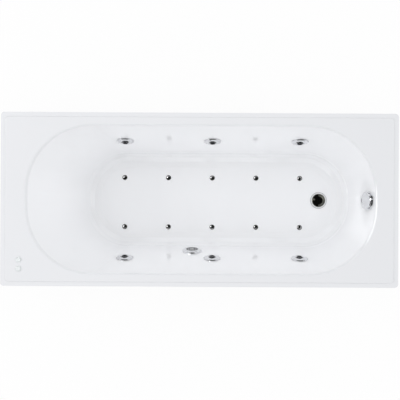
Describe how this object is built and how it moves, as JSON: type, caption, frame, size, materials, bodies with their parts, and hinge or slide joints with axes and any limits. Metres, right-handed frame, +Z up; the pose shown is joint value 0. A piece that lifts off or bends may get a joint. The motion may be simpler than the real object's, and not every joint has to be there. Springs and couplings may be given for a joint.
{
  "type": "jetted bathtub",
  "caption": "Rectangular drop-in jetted bath with side water jets, floor air jets, pop-up waste, suction pump, blower and adjustable feet.",
  "frame": {"origin": "centre of the footprint, at floor level", "axes": "+X towards the waste and overflow, +Y towards the rear long side, +Z up"},
  "size_m": [1.6, 0.7, 0.5642],
  "materials": {
    "acrylic": "gloss",
    "board": "raw chipboard",
    "galvanised": "galvanised",
    "zinc_steel": "zinc plated",
    "black_plastic": "matt",
    "blower_plastic": "matt",
    "pvc": "satin",
    "hose": "satin",
    "chrome": "polished",
    "pale_plastic": "satin",
    "dark_plastic": "gloss",
    "rubber": "matt",
    "fitting_plastic": "satin",
    "motor_paint": "cast, painted",
    "shaft_steel": "ground",
    "cable_sheath": "satin",
    "case_plastic": "satin"
  },
  "bodies": {
    "tub": {"air_hose": "hose", "air_injectors": "chrome", "air_manifold": "pvc", "base_board": "board", "base_frame": "galvanised", "bath_shell": "acrylic", "blower_housing": "blower_plastic", "blower_lid": "blower_plastic", "box_hanger": "galvanised", "button_frames": "pale_plastic", "button_tubes": "cable_sheath", "clamp_nuts": "fitting_plastic", "control_box": "case_plastic", "equipment_tray": "galvanised", "fan_cowl": "black_plastic", "foot_nuts": "zinc_steel", "foot_pads": "black_plastic", "foot_rods": "zinc_steel", "jet_bodies": "pvc", "jet_pipes": "pvc", "jet_rings": "pvc", "motor_leads": "cable_sheath", "motor_terminal_box": "black_plastic", "overflow_body": "fitting_plastic", "overflow_pipe": "fitting_plastic", "overflow_rosette": "chrome", "pipe_ends": "pvc", "plug_cable": "cable_sheath", "pump_foot": "black_plastic", "pump_motor": "motor_paint", "pump_unions": "pvc", "pump_volute": "black_plastic", "seals": "rubber", "suction_body": "pvc", "suction_cover": "chrome", "suction_pipe": "pvc", "trap": "fitting_plastic", "waste_body": "fitting_plastic", "waste_flange": "chrome", "water_loop": "pvc"},
    "bezel_1": {"jet_bezel_1": "chrome"},
    "nozzle_1": {"jet_nozzle_1": "dark_plastic"},
    "bezel_2": {"jet_bezel_2": "chrome"},
    "nozzle_2": {"jet_nozzle_2": "dark_plastic"},
    "bezel_3": {"jet_bezel_3": "chrome"},
    "nozzle_3": {"jet_nozzle_3": "dark_plastic"},
    "bezel_4": {"jet_bezel_4": "chrome"},
    "nozzle_4": {"jet_nozzle_4": "dark_plastic"},
    "bezel_5": {"jet_bezel_5": "chrome"},
    "nozzle_5": {"jet_nozzle_5": "dark_plastic"},
    "bezel_6": {"jet_bezel_6": "chrome"},
    "nozzle_6": {"jet_nozzle_6": "dark_plastic"},
    "knob": {"overflow_knob": "chrome"},
    "plug": {"waste_plug": "chrome"},
    "jet_switch": {"jet_button": "pale_plastic"},
    "bubble_switch": {"bubble_button": "pale_plastic"},
    "pump_rotor": {"pump_shaft": "shaft_steel", "pump_impeller": "black_plastic", "cooling_fan": "black_plastic"},
    "blower_rotor": {"blower_fan": "blower_plastic"}
  },
  "joints": [
    {"name": "bezel_1_turn", "type": "hinge", "parent": "tub", "child": "bezel_1", "pos_m": [-0.32, 0.25193, 0.367], "axis": [0, -0.9715, 0.237], "range_deg": [0, 90]},
    {"name": "nozzle_1_tilt", "type": "hinge", "parent": "bezel_1", "child": "nozzle_1", "pos_m": [-0.32, 0.25193, 0.367], "axis": [1, 0, 0], "range_deg": [-15, 15]},
    {"name": "bezel_2_turn", "type": "hinge", "parent": "tub", "child": "bezel_2", "pos_m": [0.055, 0.25193, 0.367], "axis": [0, -0.9715, 0.237], "range_deg": [0, 90]},
    {"name": "nozzle_2_tilt", "type": "hinge", "parent": "bezel_2", "child": "nozzle_2", "pos_m": [0.055, 0.25193, 0.367], "axis": [1, 0, 0], "range_deg": [-15, 15]},
    {"name": "bezel_3_turn", "type": "hinge", "parent": "tub", "child": "bezel_3", "pos_m": [0.43, 0.25193, 0.367], "axis": [0, -0.9715, 0.237], "range_deg": [0, 90]},
    {"name": "nozzle_3_tilt", "type": "hinge", "parent": "bezel_3", "child": "nozzle_3", "pos_m": [0.43, 0.25193, 0.367], "axis": [1, 0, 0], "range_deg": [-15, 15]},
    {"name": "bezel_4_turn", "type": "hinge", "parent": "tub", "child": "bezel_4", "pos_m": [-0.32, -0.25193, 0.367], "axis": [0, 0.9715, 0.237], "range_deg": [0, 90]},
    {"name": "nozzle_4_tilt", "type": "hinge", "parent": "bezel_4", "child": "nozzle_4", "pos_m": [-0.32, -0.25193, 0.367], "axis": [1, 0, 0], "range_deg": [-15, 15]},
    {"name": "bezel_5_turn", "type": "hinge", "parent": "tub", "child": "bezel_5", "pos_m": [0.055, -0.25193, 0.367], "axis": [0, 0.9715, 0.237], "range_deg": [0, 90]},
    {"name": "nozzle_5_tilt", "type": "hinge", "parent": "bezel_5", "child": "nozzle_5", "pos_m": [0.055, -0.25193, 0.367], "axis": [1, 0, 0], "range_deg": [-15, 15]},
    {"name": "bezel_6_turn", "type": "hinge", "parent": "tub", "child": "bezel_6", "pos_m": [0.43, -0.25193, 0.367], "axis": [0, 0.9715, 0.237], "range_deg": [0, 90]},
    {"name": "nozzle_6_tilt", "type": "hinge", "parent": "bezel_6", "child": "nozzle_6", "pos_m": [0.43, -0.25193, 0.367], "axis": [1, 0, 0], "range_deg": [-15, 15]},
    {"name": "knob_turn", "type": "hinge", "parent": "tub", "child": "knob", "pos_m": [0.6871, 0, 0.49649], "axis": [-0.9054, 0, 0.4246], "range_deg": [0, 90]},
    {"name": "plug_lift", "type": "slide", "parent": "tub", "child": "plug", "axis": [0, 0, 1], "range_m": [0, 0.01]},
    {"name": "jet_button_press", "type": "slide", "parent": "tub", "child": "jet_switch", "axis": [0, 0, -1], "range_m": [0, 0.003], "stiffness_N_per_m": 500, "springref_m": -0.001},
    {"name": "bubble_button_press", "type": "slide", "parent": "tub", "child": "bubble_switch", "axis": [0, 0, -1], "range_m": [0, 0.003], "stiffness_N_per_m": 500, "springref_m": -0.001},
    {"name": "pump_spin", "type": "hinge", "parent": "tub", "child": "pump_rotor", "pos_m": [-0.66, -0.1, 0.185], "axis": [0, 1, 0], "continuous": true},
    {"name": "blower_spin", "type": "hinge", "parent": "tub", "child": "blower_rotor", "pos_m": [-0.665, 0.215, 0.12], "axis": [0, 0, 1], "continuous": true}
  ],
  "couplings": [
    {"joint": "plug_lift", "follows": "knob_turn", "m_per_rad": 0.006366}
  ]
}
